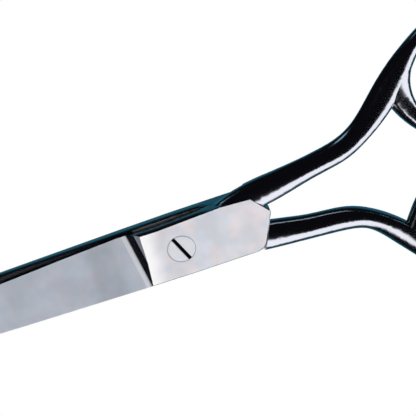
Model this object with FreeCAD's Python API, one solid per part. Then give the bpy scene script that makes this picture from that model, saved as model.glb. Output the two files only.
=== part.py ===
import FreeCAD, Part

import math
import os

from FreeCAD import Vector

# Hair cutting shears, closed, lying on their back face. Millimetres.
# X runs from the pivot towards the finger rings, Z up out of the front face, and the origin is on
# the pivot axis at the resting face. The two halves meet at the plane z = THICKNESS.
# Both halves are described in the place of the front one: spine at -Y, cutting edge and ring at +Y.
# The back half is then turned half a turn about the X axis through the meeting plane.

# Driving dimensions
THICKNESS = 3.0  # of each half at the pivot plate
PLATE_GAP = 0.03  # each half stands back this much from the meeting plane
BLADE_LENGTH = 92.0  # pivot to tips
PLATE_FRONT_X = -8.0  # where the flat pivot plate stops and the blade's ground face begins
SPINE_Y = 6.72  # spine side of the plate from the axis
SPINE_SLOPE_DEG = 0.9
SPINE_BEND_X = -38.0  # from here the spine curves in to the tip
TIP_HALF_WIDTH = 0.75
EDGE_START = Vector(-13.0, 6.27, 0)  # a point on the cutting edge near the plate
EDGE_SLOPE_DEG = 2.85
EDGE_RADIUS = 1500.0  # the edge is very slightly bowed
RICASSO = Vector(-4.0, 6.1, 0)  # the plate's edge on its ring side, behind the cutting edge
SHOULDER = Vector(11.0, 6.75, 0)  # where that edge is well inside the shank
NOSE_REACH = 0.35  # of the rounded tip past its ends

FACE_SLANT = 0.1705  # fall of the blade's outer face per mm from spine to edge
FACE_TAPER = 0.0116  # fall of that face per mm towards the tip
FACE_HEIGHT = 1.71  # of the outer face above the meeting plane on the axis at the plate
STEP_SLOPE = 1.40  # run per mm of depth of the wall between the plate and the blade
STEP_SKEW = 0.085  # lean of the plate's front edge across its width
STEP_FILLET = 0.6
GROOVE_WIDTH = 1.15  # the wheel has run a little deeper into the face at the wall's foot
GROOVE_DEPTH = 0.13
CUTTER_HEIGHT = 12.0
CUTTER_WIDTH = 60.0
EDGE_BEVEL_WIDTH = 0.2
EDGE_BEVEL_DEG = 42.0
EDGE_LAND = 0.02  # left between the bevel and the meeting plane
HOLLOW_DEPTH = 0.32  # of the ground hollow in each blade's inner face, at its deep end
HOLLOW_TIP_DEPTH = 0.05
HOLLOW_RADIUS = 38.0  # of the hollow at its deep end
HOLLOW_START = Vector(-12.0, -0.3, 0)
HOLLOW_END = Vector(-91.0, 0.1, 0)

HEEL_X = 17.75  # the plate's back end starts here at the spine and runs slantwise across
HEEL_SLOPE = 0.43  # run towards the rings per mm across
THUMB_HEEL_TOP_Y = 1.9  # where the back end turns in under the half's own shank
FINGER_HEEL_TOP_Y = 0.8
HEEL_TURN = Vector(-3.6, 4.4, 0)
HEEL_CORNER_ROUND = 3.2
HEEL_TOP_ROUND = 1.1
HEEL_GAP = 0.3  # between a plate's back end and the other half's shank
PLATE_CHAMFER = 0.22

SCREW_HEAD_D = 6.3
SCREW_HEAD_H = 1.8
SCREW_SHOULDER_D = 4.4
SCREW_THREAD_D = 3.9
SCREW_RIM_CHAMFER = 0.12
SCREW_FOOT_CHAMFER = 0.3
SCREW_END_GAP = 0.05  # between the shoulder and the back half
HEAD_GAP = 0.02  # under the head
RUNNING_GAP = 0.05
FIXED_GAP = 0.02  # round a stem that is fixed in its hole
SLOT_WIDTH = 0.8
SLOT_DEPTH = 1.0
SLOT_CHAMFER = 0.07
SLOT_ANGLE_DEG = -67.0

RING_BAR = 3.7
RING_Y = 16.9  # both ring centres from the axis
RING_HOLE_HALF_WIDTH = 12.65  # across the shears
THUMB_RING_X = 72.0
THUMB_HOLE_HALF_LENGTH = 13.0
FINGER_RING_X = 69.3
FINGER_HOLE_HALF_LENGTH = 15.45

BUMPER_X = 64.6
BUMPER_D = 4.0
BUMPER_STEM_D = 1.8
BUMPER_STEM_DEPTH = 0.4  # below the middle of the ring's bar
BUMPER_SEAT = 1.2  # from the middle of the ring's bar to the spot-faced seat
BUMPER_TOP_Y = 1.6
BUMPER_ROUND = 1.0

REST_RING_ANGLE_DEG = -20.0  # where the finger rest leaves its ring
REST_HEADING_DEG = -5.0
REST_BEND_RADIUS = 13.0
REST_BEND_DEG = 75.0
REST_BASE_R = 2.0
REST_TIP_R = 1.35
REST_SEAT = 2.7  # from the middle of the ring's bar to the rest's collar
REST_STEPS = 6
REST_BALL_R = 1.7
REST_BOSS_R = 2.25
REST_STEM_D = 1.9
REST_STEM_DEPTH = 0.4  # past the middle of the ring's bar
HOLE_SPARE = 0.2  # a blind hole is this much deeper than its stem

# Shank centre lines, up to where the ring begins: (x, y, z, width, height, lean) of each
# cross-section. The lean moves its two crests towards the other shank.
THUMB_SHANK = [
    (8.0, 3.1, 4.5, 5.4, 2.86, 0.0),
    (13.0, 4.6, 3.75, 6.0, 4.4, 0.0),
    (17.4, 5.5, 3.5, 6.5, 4.9, 0.0),
    (24.0, 6.45, 3.45, 6.3, 4.9, 0.0),
    (31.0, 7.6, 3.3, 5.4, 4.9, 0.0),
    (36.0, 8.5, 3.25, 5.2, 4.8, 0.1),
    (40.6, 9.65, 3.2, 5.2, 4.7, 0.3),
    (45.0, 11.9, 3.1, 5.2, 4.4, 0.5),
    (49.4, 15.3, 3.0, 5.9, 4.2, 0.7),
    (53.7, 19.45, 3.0, 6.3, 4.0, 0.7),
    (58.3, 24.2, 3.0, 5.3, 3.9, 0.4),
]
FINGER_SHANK = [
    (8.0, 2.8, 4.5, 5.4, 2.86, 0.0),
    (13.0, 3.9, 3.75, 6.2, 4.4, 0.0),
    (17.4, 4.75, 3.5, 6.6, 4.9, 0.0),
    (22.0, 5.4, 3.45, 6.4, 4.9, 0.0),
    (28.0, 6.2, 3.3, 5.7, 4.9, 0.0),
    (34.0, 6.8, 3.25, 5.5, 4.8, 0.1),
    (38.6, 7.65, 3.2, 5.1, 4.7, 0.3),
    (42.0, 9.2, 3.1, 4.6, 4.4, 0.5),
    (45.2, 11.85, 3.0, 5.0, 4.2, 0.7),
    (48.2, 15.2, 3.0, 5.6, 4.0, 0.7),
    (51.6, 19.8, 3.0, 5.4, 3.9, 0.4),
]
# The ring's own angle where it takes over from the shank, and its bar's width on the way to the
# web where the ring comes round to meet the shank again: (angle in degrees, width).
THUMB_RING_START_DEG = 128.0
THUMB_WEB = [
    (220.0, 3.8),
    (210.0, 4.1),
    (200.0, 4.6),
    (190.0, 5.3),
    (180.0, 6.0),
    (168.0, 5.6),
    (155.0, 4.4),
]
FINGER_RING_START_DEG = 138.0
FINGER_WEB = [
    (220.0, 3.8),
    (210.0, 4.0),
    (200.0, 4.4),
    (192.0, 5.1),
    (184.0, 5.9),
    (174.0, 5.6),
    (164.0, 4.8),
]

SECTION_POINTS = 16
ROOT_SQUARENESS = 3.0  # of the shank's first cross-section, boxy where it leaves the plate
SQUARENESS_FALL = 0.225  # from each cross-section to the next
SHANK_SQUARENESS = 2.1
RING_SQUARENESS = 2.05
RING_STEPS = 7
WEB_LEAD_DEG = 15.0  # of plain ring between the last step and the web

Z = Vector(0, 0, 1)
UP = Vector(0, 1, 0)  # from the finger ring's bar towards the thumb ring
BOTTOM = THICKNESS + PLATE_GAP
TOP = 2 * THICKNESS
TINY = 0.001


def rad(degrees):
    return math.radians(degrees)


def direction(degrees):
    return Vector(math.cos(rad(degrees)), math.sin(rad(degrees)), 0)


def at_height(point, z):
    return Vector(point.x, point.y, z)


def is_circle(edge):
    return len(edge.Vertexes) == 1


# Flat outline of blade and plate ------------------------------------------------------------


def spine_point(x):
    """A point of the spine, straight from the plate and then an arc's parabola to the tip."""
    straight = SPINE_Y - (-min(x, 0)) * math.tan(rad(SPINE_SLOPE_DEG))
    if x > SPINE_BEND_X:
        return Vector(x, -straight, 0)
    run = SPINE_BEND_X - x
    full_run = BLADE_LENGTH + SPINE_BEND_X
    end = SPINE_Y - BLADE_LENGTH * math.tan(rad(SPINE_SLOPE_DEG)) - TIP_HALF_WIDTH
    return Vector(x, -(straight - end * (run / full_run) ** 2), 0)


def edge_arc():
    """The cutting edge as an arc, with its centre, from just behind the plate's front to the tip."""
    across = direction(90 + EDGE_SLOPE_DEG)
    centre = EDGE_START - across * EDGE_RADIUS

    def on_arc(x):
        return Vector(x, centre.y + math.sqrt(EDGE_RADIUS**2 - (x - centre.x) ** 2), 0)

    middle = 0.5 * (EDGE_START.x - BLADE_LENGTH)
    points = [on_arc(EDGE_START.x), on_arc(middle), on_arc(-BLADE_LENGTH)]
    return points, centre


def rounded(corners, rounds):
    """Straight edges through the corners, each inner corner turned by an arc of its radius."""
    edges = []
    start = corners[0]
    for i, radius in enumerate(rounds, 1):
        back = (corners[i - 1] - corners[i]).normalize()
        on = (corners[i + 1] - corners[i]).normalize()
        half_angle = 0.5 * back.getAngle(on)
        reach = radius / math.tan(half_angle)
        inward = (back + on).normalize()
        middle = corners[i] + inward * (radius / math.sin(half_angle) - radius)
        edges.append(Part.LineSegment(start, corners[i] + back * reach).toShape())
        start = corners[i] + on * reach
        edges.append(Part.Arc(corners[i] + back * reach, middle, start).toShape())
    edges.append(Part.LineSegment(start, corners[-1]).toShape())
    return edges


def blank(heel_top_y):
    """Blade and plate at full thickness, before grinding."""
    edge, _ = edge_arc()
    spine_mid = spine_point(0.5 * (SPINE_BEND_X - BLADE_LENGTH))
    spine_bend = spine_point(SPINE_BEND_X)
    spine_tip = spine_point(-BLADE_LENGTH)
    nose = Vector(-BLADE_LENGTH - NOSE_REACH, 0.5 * (spine_tip.y + edge[2].y), 0)
    plate_spine = Vector(0, -SPINE_Y, 0)
    heel = Vector(HEEL_X, -SPINE_Y, 0)
    heel_top = heel + Vector(HEEL_SLOPE, 1, 0) * (heel_top_y + SPINE_Y)
    heel_end = heel_top + HEEL_TURN
    outline = Part.Wire(
        [
            Part.Arc(edge[0], edge[1], edge[2]).toShape(),
            Part.Arc(edge[2], nose, spine_tip).toShape(),
            Part.Arc(spine_tip, spine_mid, spine_bend).toShape(),
            Part.LineSegment(spine_bend, plate_spine).toShape(),
        ]
        + rounded([plate_spine, heel, heel_top, heel_end], [HEEL_CORNER_ROUND, HEEL_TOP_ROUND])
        + [
            Part.LineSegment(heel_end, SHOULDER).toShape(),
            Part.LineSegment(SHOULDER, RICASSO).toShape(),
            Part.LineSegment(RICASSO, edge[0]).toShape(),
        ]
    )
    solid = Part.Face(outline).extrude(Vector(0, 0, TOP - BOTTOM))
    solid.translate(Vector(0, 0, BOTTOM))
    rim = [
        edge
        for edge in solid.Edges
        if edge.BoundBox.ZMin > TOP - TINY and edge.BoundBox.XMin > SPINE_BEND_X - TINY
    ]
    return solid.makeChamfer(PLATE_CHAMFER, rim)


# Grinding ------------------------------------------------------------------------------------


def face_cutter():
    """What is ground off the outside: the slanted blade face and the wall up to the plate."""
    face_normal = Vector(-FACE_TAPER, FACE_SLANT, 1).normalize()
    # the wall falls one mm for each STEP_SLOPE mm towards the tip, and leans across the plate
    wall_normal = Vector(-1, STEP_SKEW, STEP_SLOPE).normalize()
    along = face_normal.cross(wall_normal).normalize()
    down = along.cross(wall_normal).normalize()
    out = along.cross(face_normal).normalize()
    # drop from the plate's front edge along the wall to the blade's face
    start = Vector(PLATE_FRONT_X, 0, TOP)
    face_point = Vector(PLATE_FRONT_X, 0, THICKNESS + FACE_HEIGHT)
    foot = start + down * ((face_point - start).dot(face_normal) / down.dot(face_normal))
    groove_start = foot + out * GROOVE_WIDTH
    groove_foot = foot + down * GROOVE_DEPTH
    slope = (groove_start - groove_foot).normalize()
    # fillet between the groove and the wall
    half_turn = 0.5 * slope.getAngle(down * -1)
    back = STEP_FILLET / math.tan(half_turn)
    inward = (slope - down).normalize()
    on_groove = groove_foot + slope * back
    on_wall = groove_foot - down * back
    low = groove_foot + inward * (STEP_FILLET / math.sin(half_turn) - STEP_FILLET)
    # the plate's front edge is broken by a small chamfer
    lift = (Z - along * Z.dot(along)).normalize()
    lip = start + down * PLATE_CHAMFER
    above_lip = lip + (lift - out) * CUTTER_HEIGHT
    far_out = foot + out * (BLADE_LENGTH + 10)
    above_far_out = far_out + lift * CUTTER_HEIGHT
    wire = Part.Wire(
        [
            Part.LineSegment(far_out, groove_start).toShape(),
            Part.LineSegment(groove_start, on_groove).toShape(),
            Part.Arc(on_groove, low, on_wall).toShape(),
            Part.LineSegment(on_wall, lip).toShape(),
            Part.LineSegment(lip, above_lip).toShape(),
            Part.LineSegment(above_lip, above_far_out).toShape(),
            Part.LineSegment(above_far_out, far_out).toShape(),
        ]
    )
    solid = Part.Face(wire).extrude(along * CUTTER_WIDTH)
    solid.translate(along * -0.5 * CUTTER_WIDTH)
    return solid


def bevel_cutter():
    """The sharpening bevel: a thin cone frustum about the centre of the edge's arc."""
    edge, centre = edge_arc()
    rise = EDGE_BEVEL_WIDTH * math.tan(rad(EDGE_BEVEL_DEG))
    out = (EDGE_START - centre).normalize()
    tip = at_height(centre + out * EDGE_RADIUS, BOTTOM)
    clear = 2.0  # past the edge, beside it and below it
    corners = [
        tip + (Z - out) * EDGE_LAND,
        tip + (Z * rise - out * EDGE_BEVEL_WIDTH) * 2,
        tip + out * clear + Z * 2 * rise,
        tip + (out - Z) * clear,
        tip - out * EDGE_LAND - Z * clear,
    ]
    profile = Part.Face(Part.makePolygon(corners + [corners[0]]))
    past_ends = math.degrees(clear / EDGE_RADIUS)
    sweep = math.degrees(2 * math.asin(0.5 * (edge[2] - edge[0]).Length / EDGE_RADIUS))
    profile.rotate(centre, Z, -past_ends)
    return profile.revolve(at_height(centre, 0), Z, sweep + 2 * past_ends)


def hollow_cutter():
    """The hollow of the inner face: a long cone that rises through the meeting plane."""
    tip = at_height(HOLLOW_END, BOTTOM + HOLLOW_TIP_DEPTH)
    root = at_height(HOLLOW_START, BOTTOM + HOLLOW_DEPTH)
    root_axis = root - Z * HOLLOW_RADIUS
    axis = tip - root_axis
    radius = axis.Length * math.tan(axis.getAngle(tip - root))
    cone = Part.makeCone(radius, 0, axis.Length, root_axis, axis)
    corner = Vector(-BLADE_LENGTH, -2 * SPINE_Y, BOTTOM - 1)
    reach = Part.makeBox(HOLLOW_START.x - corner.x, 4 * SPINE_Y, 1 + 2 * HOLLOW_DEPTH, corner)
    return cone.common(reach)


# Shank and ring ------------------------------------------------------------------------------


def section(centre, heading, width, height, squareness, lean=0.0):
    """A closed rounded cross-section, square to the heading in the XY plane."""
    side = Vector(-heading.y, heading.x, 0).normalize()
    points = []
    for i in range(SECTION_POINTS):
        turn = 2 * math.pi * i / SECTION_POINTS
        c, s = math.cos(turn), math.sin(turn)
        u = math.copysign(abs(c) ** (2 / squareness), c)
        v = math.copysign(abs(s) ** (2 / squareness), s)
        points.append(centre + side * (0.5 * width * u - lean * v * v) + Z * (0.5 * height * v))
    curve = Part.BSplineCurve()
    curve.interpolate(points, PeriodicFlag=True)
    return Part.Wire(curve.toShape())


def ring_station(centre_x, half_length, degrees, width):
    """Centre and heading of the ring's bar, whose inner side lies on the hole's ellipse."""
    c, s = math.cos(rad(degrees)), math.sin(rad(degrees))
    hole = Vector(centre_x + half_length * c, RING_Y + RING_HOLE_HALF_WIDTH * s, THICKNESS)
    normal = Vector(c / half_length, s / RING_HOLE_HALF_WIDTH, 0).normalize()
    heading = Vector(normal.y, -normal.x, 0)
    return hole + normal * (0.5 * width), heading


def shank_and_ring(shank, centre_x, half_length, start_degrees, web):
    """The shank running on into the ring's outer way round, and the rest of the ring."""
    path = [Vector(*station[:3]) for station in shank]
    first, _ = ring_station(centre_x, half_length, start_degrees, RING_BAR)
    path_on = path + [first]
    wires = []
    for i, (_, _, _, width, height, lean) in enumerate(shank):
        heading = path_on[i + 1] - path_on[max(i - 1, 0)]
        heading = Vector(heading.x, heading.y, 0).normalize()
        squareness = max(SHANK_SQUARENESS, ROOT_SQUARENESS - SQUARENESS_FALL * i)
        wires.append(section(path[i], heading, width, height, squareness, lean))
    for i in range(RING_STEPS + 1):
        degrees = start_degrees * (1 - i / RING_STEPS)
        centre, heading = ring_station(centre_x, half_length, degrees, RING_BAR)
        wires.append(section(centre, heading, RING_BAR, RING_BAR, RING_SQUARENESS))
    upper = Part.makeLoft(wires, True, False)

    wires = []
    to_web = 360 - web[0][0] - WEB_LEAD_DEG
    for i in range(RING_STEPS):
        degrees = 360 - to_web * i / (RING_STEPS - 1)
        centre, heading = ring_station(centre_x, half_length, degrees, RING_BAR)
        wires.append(section(centre, heading, RING_BAR, RING_BAR, RING_SQUARENESS))
    for degrees, width in web:
        centre, heading = ring_station(centre_x, half_length, degrees, width)
        wires.append(section(centre, heading, width, RING_BAR, RING_SQUARENESS))
    lower = Part.makeLoft(wires, True, False)
    return upper, lower


def heel_clearance():
    """Room for the other half's plate: all that lies below the meeting plane inside its heel."""
    corner = Vector(HEEL_X, SPINE_Y, 0)
    run = Vector(HEEL_SLOPE, -1, 0).normalize()
    out = Vector(-run.y, run.x, 0) * HEEL_GAP
    reach = 2 * HEEL_X
    points = [
        corner - run * reach + out,
        corner + run * reach + out,
        Vector(-reach, -reach, 0),
        Vector(-reach, reach, 0),
    ]
    base = Part.Face(Part.makePolygon(points + [points[0]]))
    solid = base.extrude(Z * (BOTTOM + TOP))
    solid.translate(Z * -TOP)
    return solid


def half(shank, centre_x, half_length, start_degrees, web, heel_top_y):
    """One forged half: ground blade, plate, shank and ring in one piece."""
    blade = blank(heel_top_y).cut(face_cutter()).cut(bevel_cutter()).cut(hollow_cutter())
    upper, lower = shank_and_ring(shank, centre_x, half_length, start_degrees, web)
    upper = upper.cut(heel_clearance())
    return blade.fuse(upper).fuse(lower)


def turned_over(shape):
    """From the front half's place to the back half's."""
    shape.rotate(Vector(0, 0, THICKNESS), Vector(1, 0, 0), 180)
    return shape


# Sub-parts -----------------------------------------------------------------------------------


def thumb_shear():
    """Front half, with the counterbored running bore for the pivot screw."""
    solid = half(
        THUMB_SHANK,
        THUMB_RING_X,
        THUMB_HOLE_HALF_LENGTH,
        THUMB_RING_START_DEG,
        THUMB_WEB,
        THUMB_HEEL_TOP_Y,
    )
    bore = Part.makeCylinder(0.5 * SCREW_SHOULDER_D + RUNNING_GAP, TOP)
    seat_z = TOP - SCREW_HEAD_H - HEAD_GAP
    seat = Part.makeCylinder(0.5 * SCREW_HEAD_D + RUNNING_GAP, TOP, Z * seat_z)
    return solid.cut(bore).cut(seat)


def rest_base():
    """Middle of the ring's bar where the finger rest stands, and the way it points."""
    centre, _ = ring_station(
        FINGER_RING_X, FINGER_HOLE_HALF_LENGTH, -REST_RING_ANGLE_DEG, RING_BAR
    )
    return Vector(centre.x, -centre.y, centre.z), direction(REST_HEADING_DEG)


def bumper_foot():
    """Middle of the finger ring's bar under the bumper."""
    outer = FINGER_HOLE_HALF_LENGTH + RING_BAR
    share = (BUMPER_X - FINGER_RING_X) / outer
    outer_y = RING_Y - (RING_HOLE_HALF_WIDTH + RING_BAR) * math.sqrt(1 - share**2)
    return Vector(BUMPER_X, -outer_y - 0.5 * RING_BAR, THICKNESS)


def finger_shear():
    """Back half, tapped for the pivot screw, with seats for the bumper and the finger rest."""
    solid = turned_over(
        half(
            FINGER_SHANK,
            FINGER_RING_X,
            FINGER_HOLE_HALF_LENGTH,
            FINGER_RING_START_DEG,
            FINGER_WEB,
            FINGER_HEEL_TOP_Y,
        )
    )
    solid = solid.cut(Part.makeCylinder(0.5 * SCREW_THREAD_D + RUNNING_GAP, TOP))
    base, heading = rest_base()
    boss = Part.makeCylinder(REST_BOSS_R, REST_SEAT, base, heading)
    stem_foot = base - heading * (REST_STEM_DEPTH + HOLE_SPARE)
    stem_hole = Part.makeCylinder(0.5 * REST_STEM_D + FIXED_GAP, 2 * REST_SEAT, stem_foot, heading)
    solid = solid.fuse(boss).cut(stem_hole)
    foot = bumper_foot()
    peg_foot = foot - UP * (BUMPER_STEM_DEPTH + FIXED_GAP)
    hole = Part.makeCylinder(0.5 * BUMPER_STEM_D + FIXED_GAP, RING_BAR, peg_foot, UP)
    seat = Part.makeCylinder(0.5 * BUMPER_D + FIXED_GAP, RING_BAR, foot + UP * BUMPER_SEAT, UP)
    return solid.cut(hole).cut(seat)


def pivot_screw():
    """Flush slotted shoulder screw: head in the front half, threaded end in the back half."""
    head_z = TOP - SCREW_HEAD_H
    head = Part.makeCylinder(0.5 * SCREW_HEAD_D, SCREW_HEAD_H, Z * head_z)
    rim = [edge for edge in head.Edges if is_circle(edge) and edge.CenterOfMass.z > TOP - TINY]
    head = head.makeChamfer(SCREW_RIM_CHAMFER, rim)
    shoulder_z = THICKNESS + SCREW_END_GAP
    shoulder = Part.makeCylinder(0.5 * SCREW_SHOULDER_D, head_z - shoulder_z, Z * shoulder_z)
    thread = Part.makeCylinder(0.5 * SCREW_THREAD_D, shoulder_z)
    foot = [edge for edge in thread.Edges if is_circle(edge) and edge.CenterOfMass.z < TINY]
    thread = thread.makeChamfer(SCREW_FOOT_CHAMFER, foot)
    corner = Vector(-SCREW_HEAD_D, -0.5 * SLOT_WIDTH, TOP - SLOT_DEPTH)
    slot = Part.makeBox(2 * SCREW_HEAD_D, SLOT_WIDTH, TOP, corner)
    slot.rotate(Vector(0, 0, 0), Z, SLOT_ANGLE_DEG)
    head = head.cut(slot)
    lips = [
        edge
        for edge in head.Edges
        if edge.BoundBox.ZMin > TOP - TINY and edge.Length > 0.8 * SCREW_HEAD_D
    ]
    head = head.makeChamfer(SLOT_CHAMFER, lips)
    return head.fuse(shoulder).fuse(thread)


def bumper():
    """Rubber silencer: a round-topped peg whose stem is pushed into the finger ring."""
    seat = bumper_foot() + UP * BUMPER_SEAT
    peg = Part.makeCylinder(0.5 * BUMPER_D, BUMPER_TOP_Y - seat.y, seat, UP)
    rim = [edge for edge in peg.Edges if is_circle(edge) and edge.CenterOfMass.y > BUMPER_TOP_Y - TINY]
    peg = peg.makeFillet(BUMPER_ROUND, rim)
    stem = Part.makeCylinder(0.5 * BUMPER_STEM_D, BUMPER_SEAT + BUMPER_STEM_DEPTH, seat, UP * -1)
    return peg.fuse(stem)


def finger_rest():
    """Curved rest for the little finger, with a collar on its seat and a threaded stem."""
    base, heading = rest_base()
    seat = base + heading * REST_SEAT
    right = Vector(heading.y, -heading.x, 0)
    centre = seat + right * REST_BEND_RADIUS
    wires = []
    for i in range(REST_STEPS + 1):
        share = i / REST_STEPS
        turn = REST_HEADING_DEG + 90 - REST_BEND_DEG * share
        point = centre + direction(turn) * REST_BEND_RADIUS
        radius = REST_BASE_R + (REST_TIP_R - REST_BASE_R) * share
        along = direction(turn - 90)
        wires.append(section(point, along, 2 * radius, 2 * radius, RING_SQUARENESS))
    horn = Part.makeLoft(wires, True, False)
    ball = Part.makeSphere(REST_BALL_R, point)
    stem_foot = base - heading * REST_STEM_DEPTH
    stem = Part.makeCylinder(0.5 * REST_STEM_D, REST_SEAT + REST_STEM_DEPTH, stem_foot, heading)
    return horn.fuse(ball).fuse(stem)


def main():
    os.makedirs("parts", exist_ok=True)
    nodes = {
        "thumb_shear": thumb_shear(),
        "finger_shear": finger_shear(),
        "pivot_screw": pivot_screw(),
        "bumper": bumper(),
        "finger_rest": finger_rest(),
    }
    for name, shape in nodes.items():
        shape.exportStep(f"parts/{name}.step")


main()
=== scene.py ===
import math

import bmesh
import bpy
from mathutils import Matrix, Vector

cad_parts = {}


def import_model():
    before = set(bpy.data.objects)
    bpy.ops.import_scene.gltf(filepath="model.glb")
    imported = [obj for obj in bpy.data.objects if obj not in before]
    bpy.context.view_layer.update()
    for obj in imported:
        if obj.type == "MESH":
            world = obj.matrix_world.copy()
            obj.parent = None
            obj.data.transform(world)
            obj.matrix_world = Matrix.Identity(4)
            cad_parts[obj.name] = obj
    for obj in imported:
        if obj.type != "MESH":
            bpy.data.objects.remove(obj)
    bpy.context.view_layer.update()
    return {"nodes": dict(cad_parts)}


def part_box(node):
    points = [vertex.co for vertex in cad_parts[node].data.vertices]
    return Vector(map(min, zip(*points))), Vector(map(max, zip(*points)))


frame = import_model()

MM = 0.001

# Places on the two halves. A pair says where a soft mask starts and where it ends
MEETING_Z = 3.0 * MM  # the plane where the two halves meet
OUTER_DEPTH = (0.38 * MM, 0.42 * MM)  # distance from that plane, past the inner faces
PLATE_DEPTH = (2.955 * MM, 2.99 * MM)  # the plate's outside; the shank's crest stays just under it
BLADE_END = (-9.5 * MM, -8.5 * MM)  # X of the step between blade and plate
SHANK_START = (5.0 * MM, 9.0 * MM)
STEP_LEAN = 0.105  # of the plate's front edge, in X per Y
EDGE_HIGHLIGHT_REACH = (-7.8 * MM, -3.6 * MM)  # X over which the painted highlight on that edge fades out
# How far that painted highlight on the edge goes towards near white
EDGE_HIGHLIGHT_SHARE = 0.62
HOLLOW_SPREAD = 0.0595  # half-width that the inner hollow gains per X
HOLLOW_RIM = (5.2 * MM, 5.5 * MM)  # and its half-width at X = 0
PAINTED_SHADE_FAR = (-24.0 * MM, -17.5 * MM)  # X over which a painted shade darkens the blade, and clears again
PAINTED_SHADE_NEAR = (-15.5 * MM, -12.0 * MM)
# How dark that painted shade makes the blade's colour
PAINTED_SHADE_DEPTH = 0.83
EDGE_CROWN = 3.4 * MM  # radius that the polished edges of plate and blade are crowned to

# How far a face looks along an axis, as that share of its normal
FLAT_FACING = (0.93, 0.975)
UPRIGHT_FACING = (0.15, 0.35)
GROOVE_FACING = (0.04, 0.09)

# Heights on the screw
SCREW_TOP_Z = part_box("pivot_screw")[1][2]
# Between the shoulder and just under the head's top the screw is painted dark: painted shade in the
# slot
HEAD_FADE = (SCREW_TOP_Z - 0.16 * MM, SCREW_TOP_Z - 0.08 * MM)
SHOULDER_FADE = (3.0 * MM, 3.2 * MM)

# Surfaces. Noise scales are in waves per metre
POLISHED_COLOR = (0.62, 0.63, 0.66, 1)
POLISHED_ROUGHNESS = 0.13
SATIN_METALLIC = 0.5
PLATE_COLORS = ((0.71, 0.74, 0.795, 1), (0.81, 0.76, 0.775, 1))
PLATE_ROUGHNESS = 0.34
BLADE_COLORS = ((0.645, 0.71, 0.80, 1), (0.70, 0.725, 0.80, 1))
BLADE_ROUGHNESS = 0.50
# Near white and mostly diffuse: a painted highlight on the groove and the step's top edge
PAINTED_HIGHLIGHT_COLOR = (1, 0.99, 0.97, 1)
PAINTED_HIGHLIGHT_METALLIC = 0.15
CLOUD_SCALE = 170.0
CLOUD_SHADES = (0.90, 1.04)
TINT_SCALE = 260.0
NOISE_MIDDLE = (0.3, 0.7)  # the part of a noise's range that is spread over its two colours
GRIND_SCALE = (2600.0, 500.0, 900.0)
GRIND_ROUGHNESS = 0.08
GRIND_STRENGTH = 0.05
GRIND_DEPTH = 0.02 * MM
SCREW_COLORS = ((0.70, 0.73, 0.78, 1), (0.82, 0.81, 0.83, 1))
SCREW_ROUGHNESS = (0.30, 0.40)
# Painted shade down in the screw's slot
SLOT_SHADE_COLOR = (0.02, 0.018, 0.022, 1)
SLOT_SHADE_ROUGHNESS = 0.7
REST_COLORS = ((0.88, 0.89, 0.92, 1), (0.792, 0.801, 0.828, 1))
REST_ROUGHNESS = (0.04, 0.12)
WEAR_SCALE = 900.0
RUBBER_COLORS = ((0.012, 0.012, 0.013, 1), (0.03, 0.03, 0.031, 1))
RUBBER_ROUGHNESS = 0.6
RUBBER_GRAIN_SCALE = 2500.0
RUBBER_GRAIN_STRENGTH = 0.3
RUBBER_GRAIN_DEPTH = 0.05 * MM

# Camera: tilted from the plate's normal towards +Y, and rolled so that the handles rise to the right
TILT_DEG = 25.0
ROLL_DEG = 18.5
AIM = Vector((8.4, 7.4, 6.0)) * MM
FRAME_WIDTH = 91.5 * MM
CAMERA_DISTANCE = 0.75
CAMERA_REACH = 20.0
SENSOR_MM = 36.0

# What the polished steel reflects: direction, inner and outer radius in degrees, colour. The first
# is a wide teal glow from below, and the others are small lamps round about
LAMPS = [
    ((0, -0.42, -0.91), 22, 76, (0.025, 0.150, 0.215)),
    ((-0.70, -0.42, 0.58), 7, 13, (1.1, 1.1, 1.1)),
    ((0.93, 0.32, -0.02), 6, 14, (0.30, 0.48, 0.60)),
    ((-0.50, 0.86, -0.10), 5, 13, (0.30, 0.48, 0.60)),
    ((-0.62, -0.02, 0.78), 2, 11, (0.10, 0.12, 0.12)),
    ((-0.30, -0.62, -0.72), 5, 20, (0.01, 0.28, 0.42)),
]
ROOM_COLOR = (0.004, 0.004, 0.006, 1)
# The long softbox lies along X, on the -Y side: its angles above the horizon there, and the X of
# the direction to its left end
SOFTBOX_LOW_DEG = (4, 20)
SOFTBOX_HIGH_DEG = (55, 62)
SOFTBOX_LEFT = (-0.34, -0.24)
SOFTBOX_LIGHT = (1.32, 1.33, 1.42, 1)

# Soft lights that only the satin flats scatter: name, strength, direction that they come from
FILLS = [
    ("fill_above", 2.9, (0.1, -0.30, 0.95)),
    ("fill_below", 2.03, (0.1, 0.20, -0.97)),
]
FILL_SPREAD_DEG = 40

FLOOR_Z = -0.4 * MM  # clear of the resting face, so that the two don't share a plane
FLOOR_REACH = 3.0
BACKDROP_RADIUS = 6.0
WHITE = (1, 1, 1, 1)


# Node helpers ------------------------------------------------------------------------------------


def new_material(name):
    material = bpy.data.materials.new(name)
    material.use_nodes = True
    material.node_tree.nodes.clear()
    return material, material.node_tree


def plug(tree, socket, value):
    """Feeds an input from another node's socket, or sets it to a value."""
    if isinstance(value, bpy.types.NodeSocket):
        tree.links.new(value, socket)
    else:
        socket.default_value = value


def node(tree, kind, **inputs):
    made = tree.nodes.new(kind)
    for name, value in inputs.items():
        plug(tree, made.inputs[name.replace("_", " ")], value)
    return made


def show(tree, shader):
    """Makes a shader the material's surface."""
    output = tree.nodes.new("ShaderNodeOutputMaterial")
    tree.links.new(shader.outputs[0], output.inputs["Surface"])


def axes_of(tree, vector):
    made = tree.nodes.new("ShaderNodeSeparateXYZ")
    tree.links.new(vector, made.inputs[0])
    return made.outputs


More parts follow.
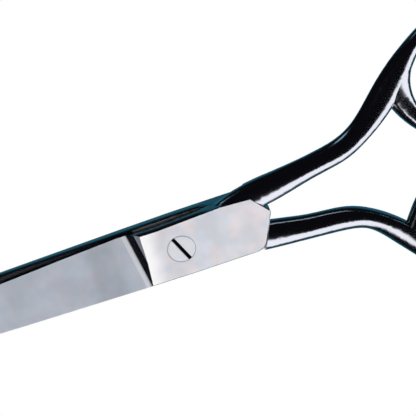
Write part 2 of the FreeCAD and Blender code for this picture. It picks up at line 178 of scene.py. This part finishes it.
def math_node(tree, operation, a, b=0.0, c=0.0):
    made = tree.nodes.new("ShaderNodeMath")
    made.operation = operation
    for socket, value in zip(made.inputs, (a, b, c)):
        plug(tree, socket, value)
    return made.outputs[0]


def both(tree, a, b):
    return math_node(tree, "MULTIPLY", a, b)


def either(tree, a, b):
    return math_node(tree, "MAXIMUM", a, b)


def opposite(tree, mask):
    return math_node(tree, "SUBTRACT", 1.0, mask)


def smooth_range(tree, value, low, high):
    """0 below low, 1 above high, and a soft step between them."""
    made = tree.nodes.new("ShaderNodeMapRange")
    made.interpolation_type = "SMOOTHSTEP"
    tree.links.new(value, made.inputs["Value"])
    made.inputs["From Min"].default_value = low
    made.inputs["From Max"].default_value = high
    return made.outputs["Result"]


def mix_color(tree, factor, a, b):
    made = tree.nodes.new("ShaderNodeMix")
    made.data_type = "RGBA"
    for place, value in ((0, factor), (6, a), (7, b)):
        plug(tree, made.inputs[place], value)
    return made.outputs[2]


def mix_value(tree, factor, a, b):
    made = tree.nodes.new("ShaderNodeMix")
    made.data_type = "FLOAT"
    for place, value in ((0, factor), (2, a), (3, b)):
        plug(tree, made.inputs[place], value)
    return made.outputs[0]


def brightened(tree, color, share):
    made = tree.nodes.new("ShaderNodeVectorMath")
    made.operation = "SCALE"
    tree.links.new(color, made.inputs[0])
    tree.links.new(share, made.inputs["Scale"])
    return made.outputs["Vector"]


def scaled(tree, vector, scale):
    made = tree.nodes.new("ShaderNodeMapping")
    tree.links.new(vector, made.inputs["Vector"])
    made.inputs["Scale"].default_value = scale
    return made.outputs["Vector"]


def noise(tree, vector, scale, detail):
    return node(tree, "ShaderNodeTexNoise", Vector=vector, Scale=scale, Detail=detail).outputs["Fac"]


# Materials ---------------------------------------------------------------------------------------


def inside_mask(tree, place, ahead, outer):
    """The ground parts of an inner face: its hollow and the pivot's face, but not the ride line."""
    side = math_node(tree, "ABSOLUTE", place["Y"])
    beyond = math_node(tree, "MULTIPLY_ADD", place["X"], -HOLLOW_SPREAD, side)
    hollow = opposite(tree, smooth_range(tree, beyond, *HOLLOW_RIM))
    ground = either(tree, hollow, opposite(tree, ahead))
    return both(tree, ground, opposite(tree, outer))


def painted_highlight_mask(tree, place, facing_x, plate, blade):
    """A painted highlight on the wheel's groove at the step's foot, and on the plate's edge at the
    step's top.
    """
    groove = both(tree, blade, smooth_range(tree, facing_x, *GROOVE_FACING))
    from_step = math_node(tree, "MULTIPLY_ADD", place["Y"], -STEP_LEAN, place["X"])
    edge_highlight = opposite(tree, smooth_range(tree, from_step, *EDGE_HIGHLIGHT_REACH))
    edge_highlight = both(tree, plate, both(tree, edge_highlight, EDGE_HIGHLIGHT_SHARE))
    return either(tree, groove, edge_highlight)


def ground_color(tree, where, place_x, ahead):
    """Slightly clouded and tinted steel, with a darker band of painted shade ahead of the step."""
    spread = smooth_range(tree, noise(tree, where, TINT_SCALE, 1.0), *NOISE_MIDDLE)
    plate_color = mix_color(tree, spread, *PLATE_COLORS)
    blade_color = mix_color(tree, spread, *BLADE_COLORS)
    cloud = smooth_range(tree, noise(tree, where, CLOUD_SCALE, 2.0), *NOISE_MIDDLE)
    # A band of painted shade across the blade ahead of the step
    painted_shade_band = opposite(tree, smooth_range(tree, place_x, *PAINTED_SHADE_NEAR))
    painted_shade_band = both(tree, painted_shade_band, smooth_range(tree, place_x, *PAINTED_SHADE_FAR))
    shade = both(tree, mix_value(tree, cloud, *CLOUD_SHADES), mix_value(tree, painted_shade_band, 1.0, PAINTED_SHADE_DEPTH))
    return brightened(tree, mix_color(tree, ahead, plate_color, blade_color), shade)


def crowned_edges(tree, place_x, off_plane, facing_z):
    """The upright edges of plate and blade, polished to a slight crown."""
    upright = opposite(tree, smooth_range(tree, facing_z, *UPRIGHT_FACING))
    before_shank = opposite(tree, smooth_range(tree, place_x, *SHANK_START))
    from_middle = math_node(tree, "SUBTRACT", off_plane, 0.5 * MEETING_Z)
    crown = both(tree, both(tree, from_middle, from_middle), -0.5 / EDGE_CROWN)
    strength = both(tree, upright, before_shank)
    bump = node(tree, "ShaderNodeBump", Strength=strength, Distance=1.0, Height=crown)
    return bump.outputs["Normal"]


def forged_steel(name):
    """Satin where the halves are ground flat, and mirror-polished on edges, shanks and rings."""
    material, tree = new_material(name)
    coords = tree.nodes.new("ShaderNodeTexCoord")
    where = coords.outputs["Object"]
    place = axes_of(tree, where)
    facing = axes_of(tree, coords.outputs["Normal"])
    facing_z = math_node(tree, "ABSOLUTE", facing["Z"])
    off_plane = math_node(tree, "ABSOLUTE", math_node(tree, "SUBTRACT", place["Z"], MEETING_Z))

    ahead = opposite(tree, smooth_range(tree, place["X"], *BLADE_END))
    outer = smooth_range(tree, off_plane, *OUTER_DEPTH)
    plate = smooth_range(tree, off_plane, *PLATE_DEPTH)
    blade = both(tree, ahead, outer)
    ground = either(tree, either(tree, plate, blade), inside_mask(tree, place, ahead, outer))
    satin = both(tree, smooth_range(tree, facing_z, *FLAT_FACING), ground)
    # Painted highlight, near white, on the groove at the step's foot and the plate's edge at the
    # step's top
    painted_highlight = painted_highlight_mask(tree, place, facing["X"], plate, blade)

    satin_color = ground_color(tree, where, place["X"], ahead)
    satin_color = mix_color(tree, painted_highlight, satin_color, PAINTED_HIGHLIGHT_COLOR)
    color = mix_color(tree, satin, POLISHED_COLOR, satin_color)
    satin_metallic = mix_value(tree, painted_highlight, SATIN_METALLIC, PAINTED_HIGHLIGHT_METALLIC)
    metallic = mix_value(tree, satin, 1.0, satin_metallic)
    grind = noise(tree, scaled(tree, where, GRIND_SCALE), 1.0, 2.0)
    satin_roughness = mix_value(tree, ahead, PLATE_ROUGHNESS, BLADE_ROUGHNESS)
    satin_roughness = math_node(tree, "MULTIPLY_ADD", grind, GRIND_ROUGHNESS, satin_roughness)
    roughness = mix_value(tree, satin, POLISHED_ROUGHNESS, satin_roughness)

    crowned = crowned_edges(tree, place["X"], off_plane, facing_z)
    strength = both(tree, satin, GRIND_STRENGTH)
    bump = node(
        tree, "ShaderNodeBump", Strength=strength, Distance=GRIND_DEPTH, Height=grind, Normal=crowned
    )
    shader = node(
        tree, "ShaderNodeBsdfPrincipled",
        Base_Color=color, Metallic=metallic, Roughness=roughness, Normal=bump.outputs["Normal"],
    )
    show(tree, shader)
    return material


def slotted_steel(name):
    """Satin screw steel, painted dark down in the slot as painted shade."""
    material, tree = new_material(name)
    where = tree.nodes.new("ShaderNodeTexCoord").outputs["Object"]
    height = axes_of(tree, where)["Z"]
    wear = noise(tree, where, WEAR_SCALE, 3.0)
    # Outside these heights the steel is plain; between them it gets the painted shade of the slot
    head = smooth_range(tree, height, *HEAD_FADE)
    foot = opposite(tree, smooth_range(tree, height, *SHOULDER_FADE))
    outside_slot_shade = either(tree, head, foot)
    color = mix_color(tree, outside_slot_shade, SLOT_SHADE_COLOR, mix_color(tree, wear, *SCREW_COLORS))
    roughness = mix_value(tree, outside_slot_shade, SLOT_SHADE_ROUGHNESS, mix_value(tree, wear, *SCREW_ROUGHNESS))
    metallic = mix_value(tree, outside_slot_shade, 1.0, SATIN_METALLIC)
    shader = node(
        tree, "ShaderNodeBsdfPrincipled", Base_Color=color, Metallic=metallic, Roughness=roughness
    )
    show(tree, shader)
    return material


def polished_steel(name):
    material, tree = new_material(name)
    where = tree.nodes.new("ShaderNodeTexCoord").outputs["Object"]
    wear = noise(tree, where, WEAR_SCALE, 3.0)
    color = mix_color(tree, wear, *REST_COLORS)
    roughness = mix_value(tree, wear, *REST_ROUGHNESS)
    shader = node(
        tree, "ShaderNodeBsdfPrincipled", Base_Color=color, Metallic=1.0, Roughness=roughness
    )
    show(tree, shader)
    return material


def rubber(name):
    material, tree = new_material(name)
    where = tree.nodes.new("ShaderNodeTexCoord").outputs["Object"]
    grain = noise(tree, where, RUBBER_GRAIN_SCALE, 4.0)
    color = mix_color(tree, grain, *RUBBER_COLORS)
    bump = node(
        tree, "ShaderNodeBump",
        Strength=RUBBER_GRAIN_STRENGTH, Distance=RUBBER_GRAIN_DEPTH, Height=grain,
    )
    shader = node(
        tree, "ShaderNodeBsdfPrincipled",
        Base_Color=color, Roughness=RUBBER_ROUGHNESS, Normal=bump.outputs["Normal"],
    )
    show(tree, shader)
    return material


def set_material(obj, material):
    obj.data.materials.clear()
    obj.data.materials.append(material)


# Studio ------------------------------------------------------------------------------------------


def white_light(name):
    material, tree = new_material(name)
    show(tree, node(tree, "ShaderNodeEmission", Color=WHITE, Strength=1.0))
    return material


def one_sided_white(name):
    """Plain white from its front, and clear from behind, so that the underside can be seen."""
    material, tree = new_material(name)
    front = node(tree, "ShaderNodeEmission", Color=WHITE, Strength=1.0)
    behind = tree.nodes.new("ShaderNodeBsdfTransparent")
    side = tree.nodes.new("ShaderNodeNewGeometry").outputs["Backfacing"]
    shader = tree.nodes.new("ShaderNodeMixShader")
    for socket, value in zip(shader.inputs, (side, front.outputs[0], behind.outputs[0])):
        tree.links.new(value, socket)
    show(tree, shader)
    return material


def staged(name, mesh, material):
    """A floor or backdrop that the camera sees, and the steel doesn't."""
    obj = bpy.data.objects.new(name, mesh)
    bpy.context.scene.collection.objects.link(obj)
    set_material(obj, material)
    obj.visible_glossy = False
    obj.visible_diffuse = False
    obj.visible_shadow = False


def floor():
    mesh = bpy.data.meshes.new("studio_floor")
    turns = ((-1, -1), (1, -1), (1, 1), (-1, 1))
    points = [(x * FLOOR_REACH, y * FLOOR_REACH, FLOOR_Z) for x, y in turns]
    mesh.from_pydata(points, [], [(0, 1, 2, 3)])
    staged("studio_floor", mesh, one_sided_white("floor_white"))


def backdrop():
    """A white dome and bowl all round."""
    mesh = bpy.data.meshes.new("studio_backdrop")
    shape = bmesh.new()
    bmesh.ops.create_icosphere(shape, subdivisions=3, radius=BACKDROP_RADIUS)
    shape.to_mesh(mesh)
    shape.free()
    staged("studio_backdrop", mesh, white_light("backdrop_white"))


def lobe(tree, direction, towards, inner_deg, outer_deg):
    """1 within inner_deg of a direction, fading to 0 at outer_deg."""
    dot = tree.nodes.new("ShaderNodeVectorMath")
    dot.operation = "DOT_PRODUCT"
    tree.links.new(direction, dot.inputs[0])
    dot.inputs[1].default_value = Vector(towards).normalized()
    low = math.cos(math.radians(outer_deg))
    high = math.cos(math.radians(inner_deg))
    return smooth_range(tree, dot.outputs["Value"], low, high)


def softbox(tree, direction):
    """1 where a direction meets the long softbox."""
    axes = axes_of(tree, direction)
    spine_side = both(tree, axes["Y"], -1.0)
    height = math_node(tree, "ARCTAN2", axes["Z"], spine_side)
    above = smooth_range(tree, height, *map(math.radians, SOFTBOX_LOW_DEG))
    below = opposite(tree, smooth_range(tree, height, *map(math.radians, SOFTBOX_HIGH_DEG)))
    return both(tree, both(tree, above, below), smooth_range(tree, axes["X"], *SOFTBOX_LEFT))


def world():
    """A dark room with the lamps and the softbox in it, all at infinity."""
    made = bpy.data.worlds.new("studio")
    bpy.context.scene.world = made
    made.use_nodes = True
    tree = made.node_tree
    tree.nodes.clear()
    direction = tree.nodes.new("ShaderNodeTexCoord").outputs["Generated"]
    color = ROOM_COLOR
    for towards, inner, outer, light in LAMPS:
        color = mix_color(tree, lobe(tree, direction, towards, inner, outer), color, (*light, 1))
    color = mix_color(tree, softbox(tree, direction), color, SOFTBOX_LIGHT)
    background = node(tree, "ShaderNodeBackground", Color=color, Strength=1.0)
    output = tree.nodes.new("ShaderNodeOutputWorld")
    tree.links.new(background.outputs[0], output.inputs["Surface"])


def fill(name, strength, towards):
    data = bpy.data.lights.new(name, "SUN")
    data.energy = strength
    data.angle = math.radians(FILL_SPREAD_DEG)
    obj = bpy.data.objects.new(name, data)
    bpy.context.scene.collection.objects.link(obj)
    obj.rotation_mode = "QUATERNION"
    obj.rotation_quaternion = Vector(towards).to_track_quat("Z", "Y")
    obj.visible_glossy = False


def camera():
    data = bpy.data.cameras.new("camera")
    data.sensor_width = SENSOR_MM
    data.lens = SENSOR_MM * CAMERA_DISTANCE / FRAME_WIDTH
    data.clip_end = CAMERA_REACH
    obj = bpy.data.objects.new("camera", data)
    bpy.context.scene.collection.objects.link(obj)
    tilt = math.radians(TILT_DEG)
    roll = math.radians(ROLL_DEG)
    back = Vector((0, math.sin(tilt), math.cos(tilt)))
    along = Vector((1, 0, 0))
    across = back.cross(along)
    right = along * math.cos(roll) - across * math.sin(roll)
    up = along * math.sin(roll) + across * math.cos(roll)
    place = Matrix((right, up, back)).transposed().to_4x4()
    place.translation = AIM + back * CAMERA_DISTANCE
    obj.matrix_world = place
    bpy.context.scene.camera = obj


steel = forged_steel("forged_steel")
for name in ("thumb_shear", "finger_shear"):
    set_material(frame["nodes"][name], steel)
set_material(frame["nodes"]["pivot_screw"], slotted_steel("screw_steel"))
set_material(frame["nodes"]["finger_rest"], polished_steel("polished_steel"))
set_material(frame["nodes"]["bumper"], rubber("black_rubber"))

floor()
backdrop()
world()
for name, strength, towards in FILLS:
    fill(name, strength, towards)
camera()
bpy.context.scene.view_settings.view_transform = "Standard"
